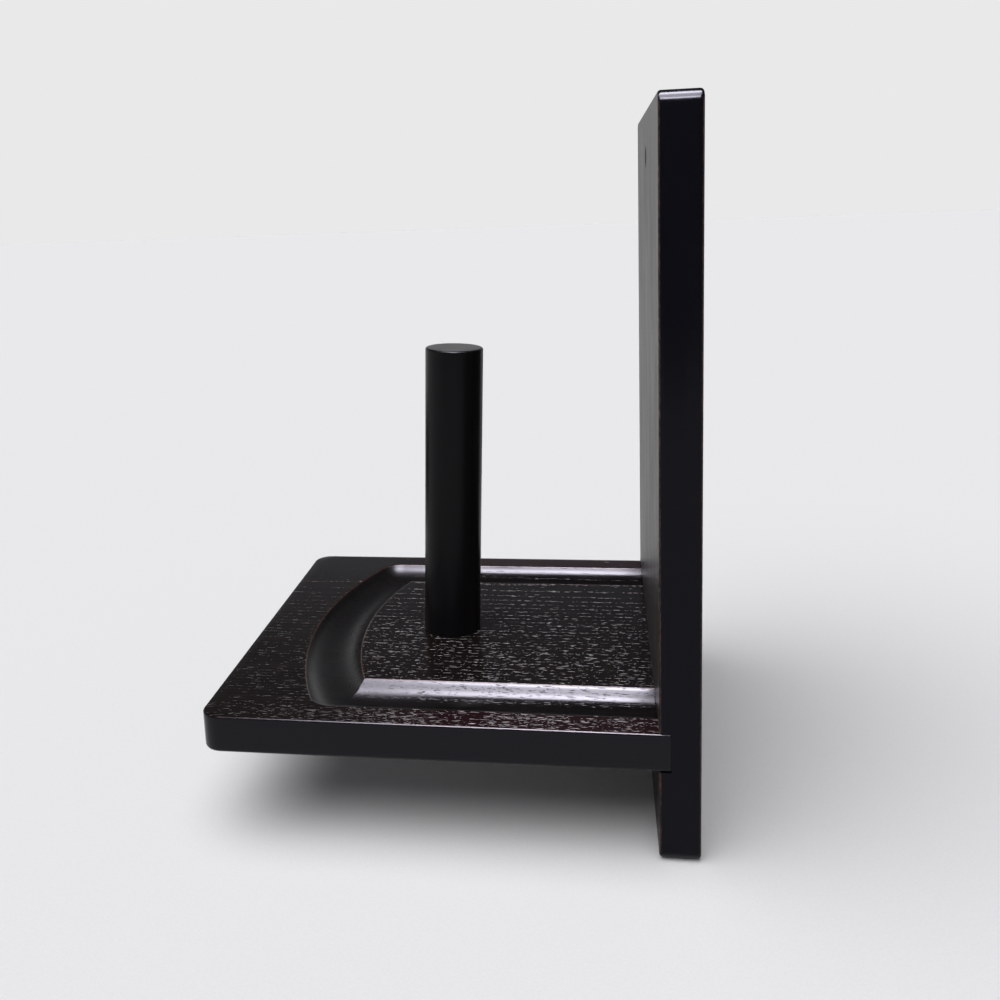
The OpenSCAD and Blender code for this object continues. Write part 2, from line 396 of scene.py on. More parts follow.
def make_shelf():
    """The shelf: its strip closed by the housed end with its screw holes, and joined on top to the post's
    socket and underneath to the post screw's hole by rows that close in on their circles.
    """
    top, bottom, end_y = SHELF_HIGH[2], SHELF_LOW[2], SHELF_HIGH[1]
    strip = shelf_strip()
    windows = [(x, SCREW_WINDOW) for x in SHELF_SCREW_X]
    end_inset = 2.0
    end_half_w = strip[0, -1, 0] - end_inset
    end_x = lines(-end_half_w, end_half_w, 8.0, *windows)[::-1]
    end_z = lines(bottom, top, 4.0, (SHELF_SCREW_Z, SCREW_WINDOW))
    end_grid = np.stack(np.broadcast_arrays(end_x[None, :], end_y, end_z[:, None]), axis=-1)
    z0, z1 = span(end_z, SHELF_SCREW_Z, SCREW_WINDOW)
    end_windows = [(z0, z1, *sorted(span(end_x, x, SCREW_WINDOW))) for x in SHELF_SCREW_X]

    island_edge = np.concatenate([strip[0], end_grid[-1]])
    turned = polar(island_edge, POST_FOOT, POST_AXIS, [
        (POST_R, 0),
        (POST_R, -SOCKET_DEPTH),
        (SCREW_HOLE_R, -SOCKET_DEPTH),
        (SCREW_HOLE_R, HEAD_SUNK + HEAD_H - SHELF_THICK),
        (SCREW_SINK_R, HEAD_SUNK - SHELF_THICK),
        (SCREW_SINK_R, -SHELF_THICK),
    ])
    for row, z in ((0, top), (-1, bottom)):
        turned[row] += POST_AXIS * ((z - turned[row, :, 2:]) / POST_AXIS[2])
    island = turned[0] + (island_edge - turned[0]) * steps(0, 1, 8)
    under_edge = np.concatenate([strip[-1], end_grid[0]])
    under = under_edge + (turned[-1] - under_edge) * steps(0, 1, 8)

    grids = [
        (strip, False, []),
        (island, True, []),
        (turned, True, []),
        (under, True, []),
        (end_grid, False, end_windows),
    ]
    into = np.array([0, -1.0, 0])
    depth = SCREW_LEN + HEAD_SUNK + SCREW_CLEAR + (end_y - BOARD_HIGH[1])
    for x, window in zip(SHELF_SCREW_X, end_windows):
        ring = border(end_grid, window)
        mouth = np.array([x, end_y, SHELF_SCREW_Z])
        bore = polar(ring, mouth, into, [(SCREW_HOLE_R, 0), (SCREW_HOLE_R, depth), (0, depth + SCREW_HOLE_R)])
        grids.append((np.concatenate([ring[None], bore]), True, []))
    caps = [
        np.concatenate([strip[:, -1], end_grid[:, 0]]),
        np.concatenate([strip[:, 0], end_grid[:, -1]]),
    ]
    piece = solid("lacquered_shelf", grids, caps)

    x, y, z = places(piece).T
    off_centre = groove_distance(x, y)
    from_outline = np.minimum(HALF_W - np.abs(x), y - SHELF_LOW[1])
    from_top_edge = np.hypot(from_outline, top - z)
    slack, end_slack, far = 0.1, 0.01, 50.0
    on_top = z > top - GROOVE_DEPTH - slack
    in_groove = (off_centre < GROOVE_HALF_W - slack) & (y < end_y - end_slack)
    from_rim = np.where(on_top, np.abs(off_centre - GROOVE_HALF_W), far)
    store(piece, "hollow", on_top & in_groove)
    store(piece, "edge_mm", np.minimum(from_rim, from_top_edge))
    return piece


# ---------------------------------------------------------------- backboard

def backboard_outline(inside, z_lower, z_floor, z_upper, z_back):
    """The backboard's outline in the Y-Z plane, for each distance inside its ends.

    The z values are the grid lines in height of its flats. Gives back named spans of (y, z) points, in
    order round the outline. Towards both ends the outline shrinks by quarter circles: in height by the
    corner's radius and in thickness by the edge's.
    """
    front, back = BOARD_LOW[1], BOARD_HIGH[1]
    low, high = BOARD_LOW[2], BOARD_HIGH[2]
    housing = SHELF_HIGH[1]
    edge = BOARD_EDGE_R

    def quarter(radius):
        short = np.clip(radius - inside, 0, radius)
        return (radius - np.sqrt(radius**2 - short**2))[:, None]

    def flat(y, z):
        y, z = np.broadcast_arrays(y, z)
        return np.stack([y, z], axis=-1)

    def eased(y, z, start):
        """A quarter round that ends an edge, about a centre set in from both faces."""
        turn = np.radians(np.linspace(start, start - 90, 7))
        return flat(y + edge * np.cos(turn), z + edge * np.sin(turn))

    thin, drop = quarter(edge), quarter(BOARD_CORNER_R)
    y_front, y_back = front + thin, back - thin
    z_low, z_high = low + drop, high - drop
    into_housing = np.linspace(0, 1, 4)[None, :-1]
    floor_z = np.broadcast_to(z_floor[None, :-1], (len(inside), len(z_floor) - 1))
    over_edge = (y_back - y_front - 2 * edge) * np.linspace(0, 1, 7)[None, 1:-1]
    return [
        ("lower", flat(y_front, z_lower[None, :-1])),
        ("shelf_low", flat(y_front + (housing - y_front) * into_housing, SHELF_LOW[2])),
        ("floor", flat(housing, floor_z)),
        ("shelf_high", flat(housing + (y_front - housing) * into_housing, SHELF_HIGH[2])),
        ("upper", flat(y_front, z_upper[None, :])),
        ("top_front", eased(y_front + edge, z_high - edge, 180)),
        ("top", flat(y_front + edge + over_edge, z_high)),
        ("top_back", eased(y_back - edge, z_high - edge, 90)),
        ("back", flat(y_back, z_back[None, :])),
        ("low_back", eased(y_back - edge, z_low + edge, 0)),
        ("low", flat(y_back - edge - over_edge, z_low)),
        ("low_front", eased(y_front + edge, z_low + edge, -90)),
    ]


def make_backboard():
    """The backboard: its outline in the Y-Z plane, with the housing's notch, carried along X, and its holes
    let in from window to window.
    """
    front, back = BOARD_LOW[1], BOARD_HIGH[1]
    low, high = BOARD_LOW[2], BOARD_HIGH[2]
    housing = SHELF_HIGH[1]
    shelf_low, shelf_high = SHELF_LOW[2], SHELF_HIGH[2]

    # Grid lines close in on both ends over the corner's round. The middle screw lies below the wall holes, so
    # its window is as wide as theirs
    near_end = np.array([0, 0.03, 0.12, 0.28, 0.5, 0.8, 1.15, 1.5, 2.0, 2.6, 3.4, 4.5])
    column_windows = [(x, SCREW_WINDOW if x else WALL_WINDOW) for x in SHELF_SCREW_X]
    middle = lines(-HALF_W + BOARD_CORNER_R, HALF_W - BOARD_CORNER_R, 9.0, *column_windows)
    x = np.concatenate([-HALF_W + near_end, middle, (HALF_W - near_end)[::-1]])

    clear_of_edge = 11.0
    walls = [(z, WALL_WINDOW) for z in WALL_HOLE_Z]
    screws = (SHELF_SCREW_Z, SCREW_WINDOW)
    z_lower = lines(low + clear_of_edge, shelf_low, 6.0, walls[1])
    z_upper = lines(shelf_high, high - clear_of_edge, 9.0, walls[0])
    z_floor = lines(shelf_low, shelf_high, 4.0, screws)
    z_back = lines(low + clear_of_edge, high - clear_of_edge, 9.0, *walls, screws)[::-1]
    spans = backboard_outline(HALF_W - np.abs(x), z_lower, z_floor, z_upper, z_back)
    first = {}
    count = 0
    for name, part in spans:
        first[name] = count
        count += part.shape[1]
    outline = np.concatenate([part for _, part in spans], axis=1)
    across = np.broadcast_to(x[:, None, None], (len(x), count, 1))
    grid = np.concatenate([across, outline], axis=-1)

    windows, tunnels = [], []

    def window(name, values, x_at, x_half, z_at, z_half):
        """A window about a place in a named span, whose grid lines in height are given."""
        a, b = sorted(span(values, z_at, z_half))
        return (*span(x, x_at, x_half), first[name] + a, first[name] + b)

    def tunnel(start, stop, x_at, z_at, profile):
        """A hole from one window to another, through circles about its axis. Each point of a border is
        joined to the one that it faces.
        """
        ring, far = border(grid, start), border(grid, stop)
        facing = ring * [1, 0, 1] + far[0] * [0, 1, 0]
        far = far[np.linalg.norm(far[None] - facing[:, None], axis=2).argmin(1)]
        rows = polar(ring, np.array([x_at, 0, z_at]), np.array([0, 1.0, 0]), profile)
        windows.extend([start, stop])
        tunnels.append((np.concatenate([ring[None], rows, far[None]]), True, []))

    for z, name, values in ((WALL_HOLE_Z[0], "upper", z_upper), (WALL_HOLE_Z[1], "lower", z_lower)):
        tunnel(
            window(name, values, 0, WALL_WINDOW, z, WALL_WINDOW),
            window("back", z_back, 0, WALL_WINDOW, z, WALL_WINDOW),
            0, z,
            [
                (WALL_HOLE_R + WALL_SINK_DEPTH, front),
                (WALL_HOLE_R, front + WALL_SINK_DEPTH),
                (WALL_HOLE_R, back),
            ],
        )
    head_top = back - HEAD_SUNK
    for x_at, x_half in column_windows:
        tunnel(
            window("back", z_back, x_at, x_half, *screws),
            window("floor", z_floor, x_at, x_half, *screws),
            x_at, SHELF_SCREW_Z,
            [
                (SCREW_SINK_R, back),
                (SCREW_SINK_R, head_top),
                (SCREW_HOLE_R, head_top - HEAD_H),
                (SCREW_HOLE_R, housing),
            ],
        )
    piece = solid("lacquered_backboard", [(grid, True, windows), *tunnels], [grid[0], grid[-1]])

    x, y, z = places(piece).T
    side = np.minimum(HALF_W - np.abs(x), np.minimum(high - z, z - low))
    face = np.minimum(y - front, back - y)
    wear_reach = 0.3
    store(piece, "edge_mm", np.hypot(side, face) - wear_reach)
    store(piece, "hollow", np.zeros(len(x)))
    return piece


# ---------------------------------------------------------------- post

def make_post():
    """The post: its outline turned about its axis, from the middle of the top, over the eased rim, down
    the side and the sanded foot, and up the screw's hole to a closed point.

    A point is foot + radius (cos t x + sin t y) + length z, with z along the leaning axis.
    """
    foot_r = POST_R - FOOT_CLEAR
    hole_end = HEAD_SUNK + SCREW_LEN + SCREW_CLEAR - SHELF_THICK
    rim = arc(POST_R - POST_EDGE_R, POST_TOP - POST_EDGE_R, POST_EDGE_R, 90, 0, 8)
    across = np.linspace(0, POST_R - POST_EDGE_R, 13)[:-1]
    down = np.linspace(POST_TOP - POST_EDGE_R, FOOT_TOP, 60)[1:]
    profile = np.concatenate([
        np.stack([across, np.full_like(across, POST_TOP)], axis=-1),
        rim,
        np.stack([np.full_like(down, POST_R), down], axis=-1),
        [[foot_r, FOOT_TOP], [foot_r, -SOCKET_DEPTH]],
        [[SCREW_HOLE_R, -SOCKET_DEPTH], [SCREW_HOLE_R, hole_end], [0, hole_end]],
    ])
    turn = np.radians(np.linspace(0, 360, 128, endpoint=False))
    sideways = np.array([1.0, 0, 0])
    out = np.cos(turn)[:, None] * sideways + np.sin(turn)[:, None] * np.cross(POST_AXIS, sideways)
    grid = POST_FOOT + profile[:, :1, None] * out + profile[:, 1:, None] * POST_AXIS
    piece = solid("lacquered_post", [(grid, True, [])])

    from_foot = places(piece) - POST_FOOT
    length = from_foot @ POST_AXIS
    radius = np.linalg.norm(from_foot - length[:, None] * POST_AXIS, axis=1)
    store(piece, "edge_mm", np.hypot(POST_R - radius, POST_TOP - length))
    return piece


# ---------------------------------------------------------------- screws

def make_screw(name, place, along):
    """A countersunk wood screw with a helical thread and a cross recess.

    The body is a surface of (distance, angle). On the thread the radius is the root plus a ridge of the
    helix's phase, distance / pitch - angle / turn, and on the head the face sinks into a tapered cross.
    """
    turn = np.radians(np.linspace(0, 360, 72, endpoint=False))
    root = SCREW_R - THREAD_DEPTH
    thread_start = SCREW_LEN - POINT_LEN - THREAD_LEN

    # The face is flat but for the recess
    face_r = np.linspace(0, SCREW_HEAD_R - 0.25, 26)[:, None]
    a, b = np.abs(face_r * np.cos(turn)), np.abs(face_r * np.sin(turn))
    along_wing, off_wing = np.maximum(a, b), np.minimum(a, b)
    end_wall = np.clip((CROSS_REACH - along_wing) / CROSS_END_WALL, 0, 1)
    side_wall = np.clip((CROSS_HALF_W - off_wing) / CROSS_SIDE_WALL, 0, 1)
    floor = np.clip(1 + CROSS_LEVEL - along_wing / CROSS_RISE, 0, 1)
    face = round_points(face_r, turn, CROSS_DEPTH * (end_wall * side_wall) * floor)

    # From the face's edge two fine chamfers lead to the head's cone and the plain shank
    neck = np.array([
        [SCREW_HEAD_R - 0.06, 0.03],
        [SCREW_HEAD_R, 0.12],
        [SCREW_R, HEAD_H],
        [SCREW_R, thread_start],
    ])
    neck = round_points(neck[:, :1], turn, neck[:, 1:])

    distance = np.linspace(thread_start, SCREW_LEN, 260)[1:, None]
    phase = (distance / THREAD_PITCH - turn / (2 * math.pi)) % 1.0
    ridge = np.clip(1 - np.abs(phase - 0.5) / RIDGE_SHARE, 0, 1)
    into_point = np.clip((SCREW_LEN - distance) / POINT_LEN, 0, 1)
    run_in = np.clip((distance - thread_start) / THREAD_PITCH, 0, 1)
    radius = TIP_R + (root - TIP_R) * into_point + THREAD_DEPTH * ridge * run_in * into_point
    shaft = round_points(radius, turn, distance)
    tip = np.zeros((1, len(turn), 3)) + [0, 0, SCREW_LEN]

    facing = Vector(along).to_track_quat("Z", "Y").to_matrix().to_4x4()
    move = np.array(Matrix.Translation(Vector(place)) @ facing)
    grid = np.concatenate([face, neck, shaft, tip]) @ move[:3, :3].T + move[:3, 3]
    return solid(name, [(grid, True, [])], sharp_from=40.0)


# ---------------------------------------------------------------- finishes

# The kinds of node that come up often, and settings that many of them share
MATHS, MIX, FADE = "ShaderNodeMath", "ShaderNodeMix", "ShaderNodeMapRange"
NOISE, MAPPING, RAMP = "ShaderNodeTexNoise", "ShaderNodeMapping", "ShaderNodeValToRGB"
COORDINATES, SEPARATE, VECTOR = "ShaderNodeTexCoord", "ShaderNodeSeparateXYZ", "ShaderNodeVectorMath"
ATTRIBUTE, BUMP, OUTPUT = "ShaderNodeAttribute", "ShaderNodeBump", "ShaderNodeOutputMaterial"
SMOOTH = {"interpolation_type": "SMOOTHSTEP"}
COLOURS = {"out": 2, "data_type": "RGBA"}

# Year rings lie this far apart in millimetres, and taper by this share of a length along the board
RING_STEP = 2.53
RING_TAPER = 0.02
# Each layer of pores: cell width and length in millimetres, how much of the cell a pore fills, and its share
PORES = [(0.6, 8.0, 0.31, 1.00), (0.5, 4.6, 0.32, 0.72), (0.45, 1.8, 0.34, 0.45)]
# How much of a pore's reach is its level floor
PORE_FLOOR = 0.35
# How much of the late wood has pores, from the board's left side to its right: (place, share)
LATE_WOOD = [
    (0.0, 0.01), (0.35, 0.02), (0.52, 0.12), (0.70, 0.20), (0.79, 0.21),
    (0.83, 0.45), (0.865, 0.40), (0.88, 0.05), (0.92, 0.05), (0.94, 0.65),
]


def linear(code):
    """The linear colour of an sRGB hex value."""
    part = np.array([int(code[i:i + 2], 16) for i in (0, 2, 4)]) / 255
    value = np.where(part <= 0.04045, part / 12.92, ((part + 0.055) / 1.055) ** 2.4)
    return (*value.tolist(), 1.0)


def add(tree, kind, sockets=(), out=0, stops=(), **settings):
    """Adds a node with its settings, its sockets' values or links and a ramp's (place, colour) stops.

    Gives back the output named or numbered by out. Sockets are named or numbered: a fade takes 0 from the
    range between 1 and 2 to the range between 3 and 4, and both are 0 to 1 where they aren't given. A mix
    goes by 0 from 2 to 3, or from 6 to 7 if they are colours. A noise has its scale at 2, detail at 3 and
    roughness at 4, and a mapping its shift at 1 and scale at 3.
    """
    made = tree.nodes.new(kind)
    for name, value in settings.items():
        setattr(made, name, value)
    for socket, value in dict(sockets).items():
        if isinstance(value, bpy.types.NodeSocket):
            tree.links.new(value, made.inputs[socket])
        else:
            made.inputs[socket].default_value = value
    for number, (place, value) in enumerate(stops):
        ramp = made.color_ramp.elements
        stop = ramp[number] if number < 2 else ramp.new(place)
        stop.position = place
        stop.color = value if isinstance(value, tuple) else (value, value, value, 1.0)
    return made.outputs[out] if made.outputs else None


def material(name):
    """An empty material and its tree."""
    made = bpy.data.materials.new(name)
    made.use_nodes = True
    made.node_tree.nodes.clear()
    return made, made.node_tree


def cells(width_mm, length_mm):
    """The scale that gives a pattern cells so wide across the grain and so long with it."""
    return 1000 / width_mm, 1000 / length_mm, 1000 / width_mm


def early_wood(tree, own, pith):
    """Where each year ring starts. The rings are circles about the pith that wander along the board."""
    from_pith = add(tree, MAPPING, {0: own, 1: (-pith[0] * MM, 0, -pith[1] * MM), 3: (1, RING_TAPER, 1)})
    radius = add(tree, VECTOR, {0: from_pith}, "Value", operation="LENGTH")
    broad_place = add(tree, MAPPING, {0: own, 3: cells(34.0, 70.0)})
    broad = add(tree, NOISE, {0: broad_place, 2: 1.0, 3: 2.0, 4: 0.5})
    wander = add(tree, MATHS, {0: broad, 1: 2.0 * MM, 2: radius}, operation="MULTIPLY_ADD")
    ripple_place = add(tree, MAPPING, {0: own, 3: cells(5.0, 16.0)})
    ripple = add(tree, NOISE, {0: ripple_place, 2: 1.0, 3: 2.0, 4: 0.5})
    waved = add(tree, MATHS, {0: ripple, 1: 0.5 * MM, 2: wander}, operation="MULTIPLY_ADD")
    ring = add(tree, MATHS, {0: waved, 1: 1000 / RING_STEP}, operation="MULTIPLY")
    ring_part = add(tree, MATHS, {0: ring}, operation="FRACT")
    return add(tree, RAMP, {0: ring_part}, stops=[
        (0.0, 1.0), (0.10, 0.9), (0.19, 0.0), (0.97, 0.0), (1.0, 1.0),
    ])


def pore_drops(tree, own, across, grain_way, early):
    """The pores: all of them in the early wood's rows, and some scattered in patches of the late wood.

    A pore is a stretched drop about a scattered point, kept where the pores are dense enough. Towards the
    shelf's free end there are half as many.
    """
    width_part = add(tree, FADE, {0: across, 1: -HALF_W * MM, 2: HALF_W * MM})
    late_share = add(tree, RAMP, {0: width_part}, stops=LATE_WOOD)
    patch_place = add(tree, MAPPING, {0: own, 3: cells(18.0, 40.0)})
    patches = add(tree, NOISE, {0: patch_place, 2: 1.0, 3: 2.0, 4: 0.5})
    patchy = add(tree, FADE, {0: patches, 1: 0.35, 2: 0.6, 3: 0.6, 4: 1.1}, **SMOOTH)
    scattered = add(tree, MATHS, {0: late_share, 1: patchy}, operation="MULTIPLY")
    anywhere = add(tree, MATHS, {0: early, 1: scattered}, operation="MAXIMUM")
    sparse_end = add(tree, FADE, {0: grain_way, 1: -230 * MM, 2: -170 * MM, 3: 0.5, 4: 1.0}, **SMOOTH)
    density = add(tree, MATHS, {0: anywhere, 1: sparse_end}, operation="MULTIPLY")

    pore = 0.0
    for width_mm, length_mm, reach, share in PORES:
        pore_place = add(tree, MAPPING, {0: own, 3: cells(width_mm, length_mm)})
        cell = add(tree, "ShaderNodeTexVoronoi", {0: pore_place, "Scale": 1.0}, "Distance")
        chance = add(tree, "ShaderNodeSeparateColor", {0: cell.node.outputs["Color"]})
        catch = add(tree, FADE, {0: chance.node.outputs[1], 3: 0.3, 4: 1.0})
        wanted = add(tree, MATHS, {0: density, 1: share}, operation="MULTIPLY")
        kept = add(tree, MATHS, {0: wanted, 1: chance}, operation="GREATER_THAN")
        drop = add(tree, FADE, {0: cell, 1: reach * PORE_FLOOR, 2: reach, 3: 1.0, 4: 0.0}, **SMOOTH)
        strong = add(tree, MATHS, {0: kept, 1: catch}, operation="MULTIPLY")
        drop_kept = add(tree, MATHS, {0: drop, 1: strong}, operation="MULTIPLY")
        pore = add(tree, MATHS, {0: drop_kept, 1: pore}, operation="MAXIMUM")
    return pore


def still_open(tree, own, level_way, hollow, sanded, openness, rubbed):
    """How open the pores were left: on the flats and the groove's slopes, not on edges and ends.

    The groove's arc was sanded across the grain, which closed most of them. On a rubbed board they were
    sanded over beyond the arc too and show faintly.
    """
    open_pores = add(tree, FADE, {0: sanded, 1: 0.0, 2: 1.0, 3: openness, 4: openness * 0.2})
    level = add(tree, FADE, {0: level_way, 1: 0.80, 2: 0.97, 3: 0.0, 4: 1.0}, **SMOOTH)
    sloping = add(tree, FADE, {0: level_way, 1: 0.90, 2: 0.985, 3: 1.0, 4: 0.05}, **SMOOTH)
    cut_open = add(tree, MIX, {0: hollow, 2: level, 3: sloping})
    opened = add(tree, MATHS, {0: cut_open, 1: open_pores}, operation="MULTIPLY")
    if rubbed:
        from_centre = add(tree, MAPPING, {0: own, 1: (0, -ARC_CENTRE_Y * MM, 0), 3: (1, 1, 0)})
        beyond = add(tree, VECTOR, {0: from_centre}, "Value", operation="LENGTH")
        faint_end = add(tree, FADE, {0: beyond, 1: 185 * MM, 2: 213 * MM, 3: 1.0, 4: 0.35}, **SMOOTH)
        opened = add(tree, MATHS, {0: opened, 1: faint_end}, operation="MULTIPLY")
    return opened


def wood_stain(tree, own, across, grain_way, early, hollow, broad_face, tones, rubbed, worn):
    """The stain: streaks and rows of pores on the broad faces, a tone of its own on edges and ends.

    It was rubbed thin and redder beside the groove towards the wall, and is worn through along edges.
    Gives back the stain and its streaks.
    """
    streak_place = add(tree, MAPPING, {0: own, 3: cells(1.6, 70.0)})
    streaks = add(tree, NOISE, {0: streak_place, 2: 1.0, 3: 3.0, 4: 0.6})
    streaky = add(tree, FADE, {0: streaks, 1: 0.35, 2: 0.7}, **SMOOTH)
    edge_tone, dark_streak, pale_streak, row_tone = (linear(tone) for tone in tones)
    plain = add(tree, MIX, {0: streaky, 6: dark_streak, 7: pale_streak}, **COLOURS)
    row_tint = add(tree, FADE, {0: hollow, 3: 0.9, 4: 0.0})
    row = add(tree, MATHS, {0: early, 1: row_tint}, operation="MULTIPLY")
    face_stain = add(tree, MIX, {0: row, 6: plain, 7: row_tone}, **COLOURS)
    stain = add(tree, MIX, {0: broad_face, 6: edge_tone, 7: face_stain}, **COLOURS)
    if rubbed:
        off_middle = add(tree, MATHS, {0: across}, operation="ABSOLUTE")
        side = add(tree, FADE, {0: off_middle, 1: 94 * MM, 2: 102 * MM, 3: 0.0, 4: rubbed}, **SMOOTH)
        wall_half = add(tree, FADE, {0: grain_way, 1: -190 * MM, 2: -110 * MM, 3: 0.1, 4: 1.0}, **SMOOTH)
        strip = add(tree, MATHS, {0: side, 1: wall_half}, operation="MULTIPLY")
        on_face = add(tree, MATHS, {0: strip, 1: broad_face}, operation="MULTIPLY")
        stain = add(tree, MIX, {0: on_face, 6: stain, 7: linear("281317")}, **COLOURS)
    if worn:
        ragged_place = add(tree, MAPPING, {0: own, 3: cells(1.2, 3.0)})
        ragged = add(tree, NOISE, {0: ragged_place, 2: 1.0, 3: 2.0, 4: 0.5})
        edge = add(tree, ATTRIBUTE, out="Fac", attribute_name="edge_mm")
        shifted = add(tree, MATHS, {0: ragged, 1: 0.9, 2: edge}, operation="MULTIPLY_ADD")
        bare = add(tree, FADE, {0: shifted, 1: 0.55, 2: 1.05, 3: worn, 4: 0.0}, **SMOOTH)
        stain = add(tree, MIX, {0: bare, 6: stain, 7: linear("5e4139")}, **COLOURS)
    return stain, streaks


def lacquered_ash(name, turn, pith, tones, specular, edge_roughness, face_roughness, pore_depth, openness,
                  rubbed=0.0, worn=0.0):
    """Open-pored ash, stained espresso black-brown and sprayed with thin gloss lacquer.

    Each year ring starts with rows of large pores. The lacquer follows them down, so a pore is a short
    dimple along the grain whose far side catches the light, and the wood between them mirrors softly. Each
    pore is also coloured pale, a painted highlight for its glint, faint inside the groove. The stain is
    nearly black: brownest on the broad faces, bluish on the filled and sanded edges, and redder where it
    was rubbed thin beside the groove and along its rims.
    turn brings the grain to the pattern's own Y and a broad face to its Z. pith is where the rings' centre
    lies in millimetres, and tones are the stain on edges, in the broad faces' two streaks and in their rows
    of pores. Real pores are 0.2 to 0.3 mm wide; they are drawn about 0.4 mm wide so that they show.
    """
    made, tree = material(name)
    object_place = add(tree, COORDINATES, out="Object")
    own = add(tree, MAPPING, {0: object_place, "Rotation": turn})
    across = add(tree, SEPARATE, {0: own}, "X")
    grain_way = add(tree, SEPARATE, {0: own}, "Y")
    early = early_wood(tree, own, pith)
    pore = pore_drops(tree, own, across, grain_way, early)

    normal = add(tree, COORDINATES, out="Normal")
    turned_normal = add(tree, MAPPING, {0: normal, "Rotation": turn})
    upward = add(tree, SEPARATE, {0: turned_normal}, "Z")
    level_way = add(tree, MATHS, {0: upward}, operation="ABSOLUTE")
    broad_face = add(tree, FADE, {0: level_way, 1: 0.35, 2: 0.85, 3: 0.0, 4: 1.0}, **SMOOTH)
    hollow = add(tree, ATTRIBUTE, out="Fac", attribute_name="hollow")
    arc_end = add(tree, FADE, {0: grain_way, 1: -160 * MM, 2: -120 * MM, 3: 1.0, 4: 0.0}, **SMOOTH)
    sanded = add(tree, MATHS, {0: hollow, 1: arc_end}, operation="MULTIPLY")
    opened = still_open(tree, own, level_way, hollow, sanded, openness, rubbed)
    pore_shown = add(tree, MATHS, {0: pore, 1: opened}, operation="MULTIPLY")

    stain, streaks = wood_stain(tree, own, across, grain_way, early, hollow, broad_face, tones, rubbed, worn)
    # Painted highlight: the pores are coloured pale for their glint, strongly on the flats and faintly inside
    # the groove
    pore_highlight_share = add(tree, FADE, {0: hollow, 1: 0.0, 2: 1.0, 3: 0.9, 4: 0.06})
    painted_pore_highlight = add(tree, MATHS, {0: pore_shown, 1: pore_highlight_share}, operation="MULTIPLY")
    colour = add(tree, MIX, {0: painted_pore_highlight, 6: stain, 7: linear("e2dbdc")}, **COLOURS)

    # The gloss is a little cloudy, satin where the groove was sanded, and duller inside the pores
    cloud_place = add(tree, MAPPING, {0: own, 3: cells(26.0, 60.0)})
    clouds = add(tree, NOISE, {0: cloud_place, 2: 1.0, 3: 3.0, 4: 0.55})
    gloss = add(tree, FADE, {0: broad_face, 3: edge_roughness, 4: face_roughness})
    cloudy = add(tree, FADE, {0: clouds, 1: 0.3, 2: 0.7, 3: -0.02, 4: 0.03}, **SMOOTH)
    varied = add(tree, MATHS, {0: gloss, 1: cloudy}, operation="ADD")
    matted = add(tree, MATHS, {0: sanded, 1: 0.13, 2: varied}, operation="MULTIPLY_ADD")
    dulled = add(tree, FADE, {0: hollow, 3: 0.1, 4: 0.8})
    rough = add(tree, MATHS, {0: pore_shown, 1: dulled, 2: matted}, operation="MULTIPLY_ADD")

    sunk = add(tree, MATHS, {0: pore_shown, 1: -1.0}, operation="MULTIPLY")
    dimple = add(tree, BUMP, {"Strength": 1.0, "Distance": pore_depth * MM, "Height": sunk})
    flowing = add(tree, BUMP, {"Strength": 0.4, "Distance": 0.04 * MM, "Height": streaks, "Normal": dimple})
    shader = add(tree, "ShaderNodeBsdfPrincipled", {
        "Base Color": colour,
        "Roughness": rough,
        "IOR": 1.5,
        "Specular IOR Level": specular,
        "Normal": flowing,
    })
    add(tree, OUTPUT, {"Surface": shader})
    return made


def plated_steel():
    """Zinc-plated steel with a yellow chromate: a warm, satiny metal, cloudy where the plating varies.

    The clouds are about 2.4 mm across and the plating's crystals about 0.3 mm, coarser than real ones so
    that they show.
    """
    made, tree = material("zinc_plated_steel")
    place = add(tree, COORDINATES, out="Object")
    cloud = add(tree, NOISE, {"Vector": place, "Scale": 420.0, "Detail": 3.0})
    grain = add(tree, NOISE, {"Vector": place, "Scale": 3500.0, "Detail": 2.0})
    colour = add(tree, RAMP, {0: cloud}, stops=[(0.3, linear("b39a5e")), (0.7, linear("cdbb86"))])
    rough = add(tree, FADE, {0: cloud, 1: 0.2, 2: 0.8, 3: 0.26, 4: 0.42})
    bump = add(tree, BUMP, {"Strength": 0.2, "Distance": 0.04 * MM, "Height": grain})
    shader = add(tree, "ShaderNodeBsdfPrincipled", {
        "Base Color": colour, "Metallic": 1.0, "Roughness": rough, "Normal": bump,
    })
    add(tree, OUTPUT, {"Surface": shader})
    return made


# ---------------------------------------------------------------- the object

UPRIGHT = (math.radians(90), 0, 0)
ALONG_POST = (math.radians(90) + math.atan2(POST_AXIS[1], POST_AXIS[2]), 0, 0)
shelf_wood = lacquered_ash(
    "espresso_ash_gloss_shelf", turn=(0, 0, 0), pith=(-90, -385.2),
    tones=("0b0b12", "0d0c0c", "171413", "2a1b16"),
    specular=0.18, edge_roughness=0.15, face_roughness=0.15, pore_depth=0.17, openness=1.0,
    rubbed=0.65, worn=0.4,
)
board_wood = lacquered_ash(
    "espresso_ash_gloss_backboard", turn=UPRIGHT, pith=(-40, -90),
    tones=("0b0b12", "120f0d", "2b2621", "2b2621"),
    specular=0.10, edge_roughness=0.17, face_roughness=0.38, pore_depth=0.10, openness=0.6,
    worn=0.7,
)
post_wood = lacquered_ash(
    "espresso_ash_satin_post", turn=ALONG_POST, pith=(20, 60),
    tones=("0c0c0e", "0d0c0c", "171413", "171413"),
    specular=0.09, edge_roughness=0.30, face_roughness=0.30, pore_depth=0.02, openness=0.0,
)
steel = plated_steel()

